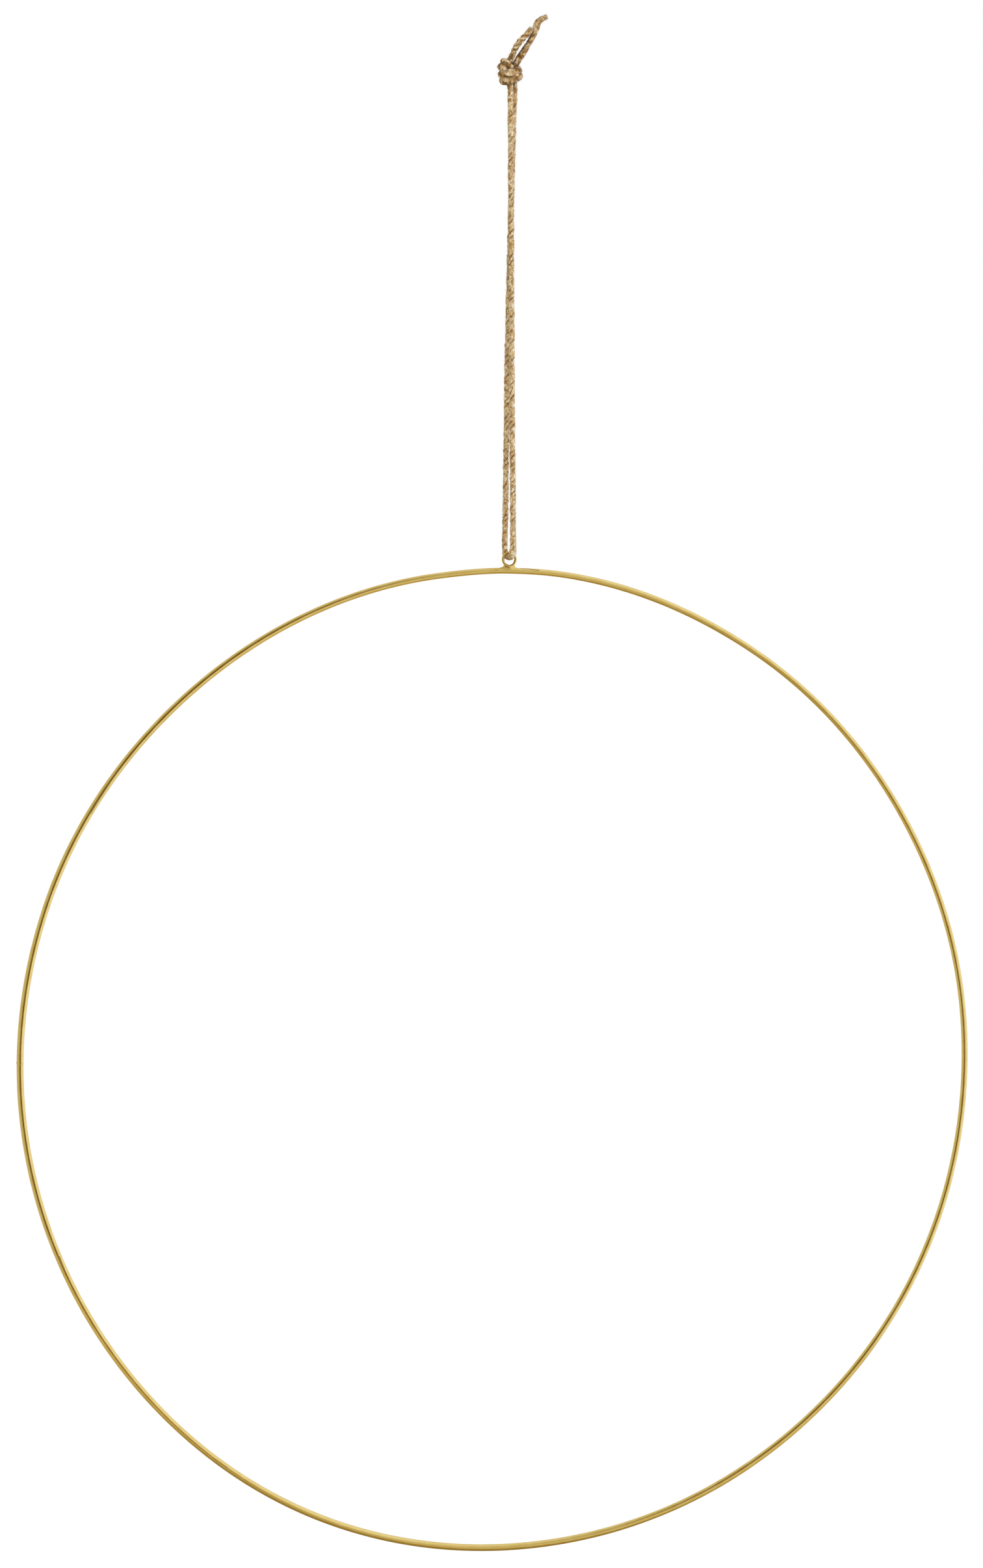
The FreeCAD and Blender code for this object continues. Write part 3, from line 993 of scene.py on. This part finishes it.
def make_world():
    """A studio: bright on the right and behind, weaker on the left, dim round the photographer."""
    world = bpy.data.worlds.new("studio")
    world.use_nodes = True
    tree = world.node_tree
    tree.nodes.clear()
    way = node(tree, "ShaderNodeTexCoord").outputs["Generated"]
    split = node(tree, "ShaderNodeSeparateXYZ", {"Vector": way})
    ahead = arithmetic(tree, "MULTIPLY", split.outputs["Y"], -1.0)
    turn = arithmetic(tree, "ARCTAN2", split.outputs["X"], ahead)
    share = arithmetic(tree, "MULTIPLY_ADD", turn, 0.5 / math.pi, 0.5)
    walls = ramp(tree, share, [((angle + 180) / 360, colour) for angle, colour in STUDIO_WALLS])
    height = arithmetic(tree, "MULTIPLY_ADD", split.outputs["Z"], 0.5, 0.5)
    below = ramp(tree, height, [(0.06, 1.0), (0.30, 0.0)])
    above = ramp(tree, height, [(0.88, 0.0), (1.0, 1.0)])
    colour = mixed(tree, below, walls, STUDIO_FLOOR)
    colour = mixed(tree, arithmetic(tree, "MULTIPLY", above, 0.5), colour, STUDIO_CEILING)
    light = node(tree, "ShaderNodeBackground", {"Color": colour, "Strength": STUDIO_STRENGTH})
    seen = white_to_camera(tree, light.outputs[0], "ShaderNodeBackground")
    node(tree, "ShaderNodeOutputWorld", {"Surface": seen})
    bpy.context.scene.world = world


def add_sheet(name, corners, material):
    """A flat sheet with four corners."""
    mesh = bpy.data.meshes.new(name)
    mesh.from_pydata(corners, [], [(0, 1, 2, 3)])
    mesh.materials.append(material)
    return add_object(name, mesh)


def make_floor():
    """A pale floor well below the hoop, with a painted shadow that the metal shows as darker right under
    it.
    """
    material, tree = new_material("floor")
    place = node(tree, "ShaderNodeTexCoord").outputs["Object"]
    flat = node(tree, "ShaderNodeVectorMath", {0: place, 1: (1, 1, 0)}, operation="MULTIPLY")
    reach = node(tree, "ShaderNodeVectorMath", {0: flat.outputs["Vector"]}, operation="LENGTH")
    # Painted shadow: darker near the middle, right under the hoop, lighter farther out
    shade = ramp(tree, reach.outputs["Value"], FLOOR_PAINTED_SHADOW)
    matte = node(tree, "ShaderNodeBsdfDiffuse", {"Color": shade})
    finish_material(tree, white_to_camera(tree, matte.outputs[0], "ShaderNodeEmission"))
    corners = [(-1, -1), (1, -1), (1, 1), (-1, 1)]
    floor = add_sheet("floor", [(x * FLOOR_HALF_WIDTH, y * FLOOR_HALF_WIDTH, cad_low[2] - FLOOR_DROP)
                                for x, y in corners], material)


def make_shade_sheet():
    """The painted shade in front, round the camera: a dark, dimly glowing sheet that only the polished
    metal shows.
    """
    material, tree = new_material("shade_sheet")
    # Painted shade: a dim, dark glow stands in for the shade in front
    dark = node(tree, "ShaderNodeEmission", {"Color": (*FLAG_PAINTED_SHADE, 1), "Strength": 1.0})
    finish_material(tree, dark.outputs[0])
    aside = Vector((math.cos(CAMERA_AZIMUTH), math.sin(CAMERA_AZIMUTH), 0)) * FLAG_WIDTH / 2
    ahead = Vector((math.sin(CAMERA_AZIMUTH), -math.cos(CAMERA_AZIMUTH), 0)) * FLAG_DISTANCE
    middle = ahead + Vector((FLAG_ASIDE, 0, HOOP_CENTRE))
    upward = Vector((0, 0, FLAG_HEIGHT / 2))
    shade_sheet = add_sheet("shade_sheet", [middle - aside - upward, middle + aside - upward,
                              middle + aside + upward, middle - aside + upward], material)
    shade_sheet.visible_camera = shade_sheet.visible_diffuse = shade_sheet.visible_shadow = False


def make_light(name, place, size, power, colour):
    """A soft lamp aimed at the middle of the object, which only lights what isn't mirror-like."""
    data = bpy.data.lights.new(name, "AREA")
    data.shape = "DISK"
    data.size = size
    data.energy = power
    data.color = colour
    lamp = add_object(name, data)
    middle = Vector((0, 0, (cad_low[2] + cad_high[2]) / 2))
    lamp.location = middle + Vector(place)
    lamp.rotation_euler = (-Vector(place)).to_track_quat("-Z", "Y").to_euler()
    lamp.visible_glossy = False


# ---------------------------------------------------------------- assembly


def spans_between(high, low):
    """Index pairs of the cord line's stretches whose height lies between two levels."""
    held = (CORD_LINE[:, 2] <= high) & (CORD_LINE[:, 2] >= low)
    edges = np.flatnonzero(np.diff(np.concatenate([[0], held, [0]]).astype(int)))
    return [(first, last) for first, last in edges.reshape(-1, 2) if last - first > 3]


def assemble_cord():
    """The cord's pieces: the knot and its fibres on the body that they follow, the loop and the neck left
    where they are built.
    """
    jute, hair = jute_material(), hair_material()
    end = len(CORD_LINE) - 1
    (left, right), = spans_between(LOOP_TOP, -1)
    necks = spans_between(NECK_TOP, LOOP_TOP)
    knots = [(0, necks[0][0]), (necks[1][1], end)]
    necks = [(knots[0][1], left), (right, knots[1][0])]
    loop = strand_piece("cord_loop", [(left, right)], jute)
    neck = strand_piece("cord_neck", necks, jute)
    knot = strand_piece("cord_knot_strands", knots, jute)
    bight = int(CORD_LINE[:, 2].argmin())
    front_hair = hair_piece("cord_front_fuzz", [nap(left, bight, *LOOP_NAP)], hair)
    back_hair = hair_piece("cord_back_fuzz", [nap(bight, right, *LOOP_NAP)], hair)
    neck_hair = hair_piece("cord_neck_fuzz", [nap(*span, *NECK_NAP) for span in necks], hair)
    tufts = [brush(0, 160, 0.9), brush(end, 240, 1.5)]
    knot_hair = hair_piece("cord_knot_fuzz", [nap(*span, *KNOT_NAP) for span in knots] + tufts, hair)
    for piece in (loop, front_hair, back_hair):
        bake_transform(piece)
    for piece in (neck, neck_hair):
        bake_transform(piece)
    for piece in (knot, knot_hair):
        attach(piece, "cord_top")
    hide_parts("cord_front_leg", "cord_back_leg", "cord_bight")
    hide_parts("cord_knot", "cord_tail_short", "cord_tail_long")


def assemble_hoop():
    """The hoop's pieces, which all move together."""
    finish = {
        "hoop_brass": brass_material("hoop_brass", 0.23, 0.6, HOOP_MARKS),
        "eyelet_brass": brass_material("eyelet_brass", 0.20, 0.5),
        "braze_metal": brass_material("braze_metal", 0.36, 1.0),
    }
    pieces = [
        (make_hoop(finish["hoop_brass"]), "hoop_wire", "hoop_brass"),
        (make_weld(finish["hoop_brass"]), "hoop_butt_weld", "hoop_brass"),
        (make_eyelet(finish["eyelet_brass"]), "eyelet_ring", "eyelet_brass"),
        (make_braze(finish["braze_metal"]), "eyelet_braze", "braze_metal"),
    ]
    for piece, stands_for, slot in pieces:
        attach(piece, "hoop")
        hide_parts(stands_for)


assemble_cord()
assemble_hoop()
make_world()
make_floor()
make_shade_sheet()
for lamp in LAMPS:
    make_light(*lamp)
bpy.context.scene.view_settings.view_transform = "Standard"
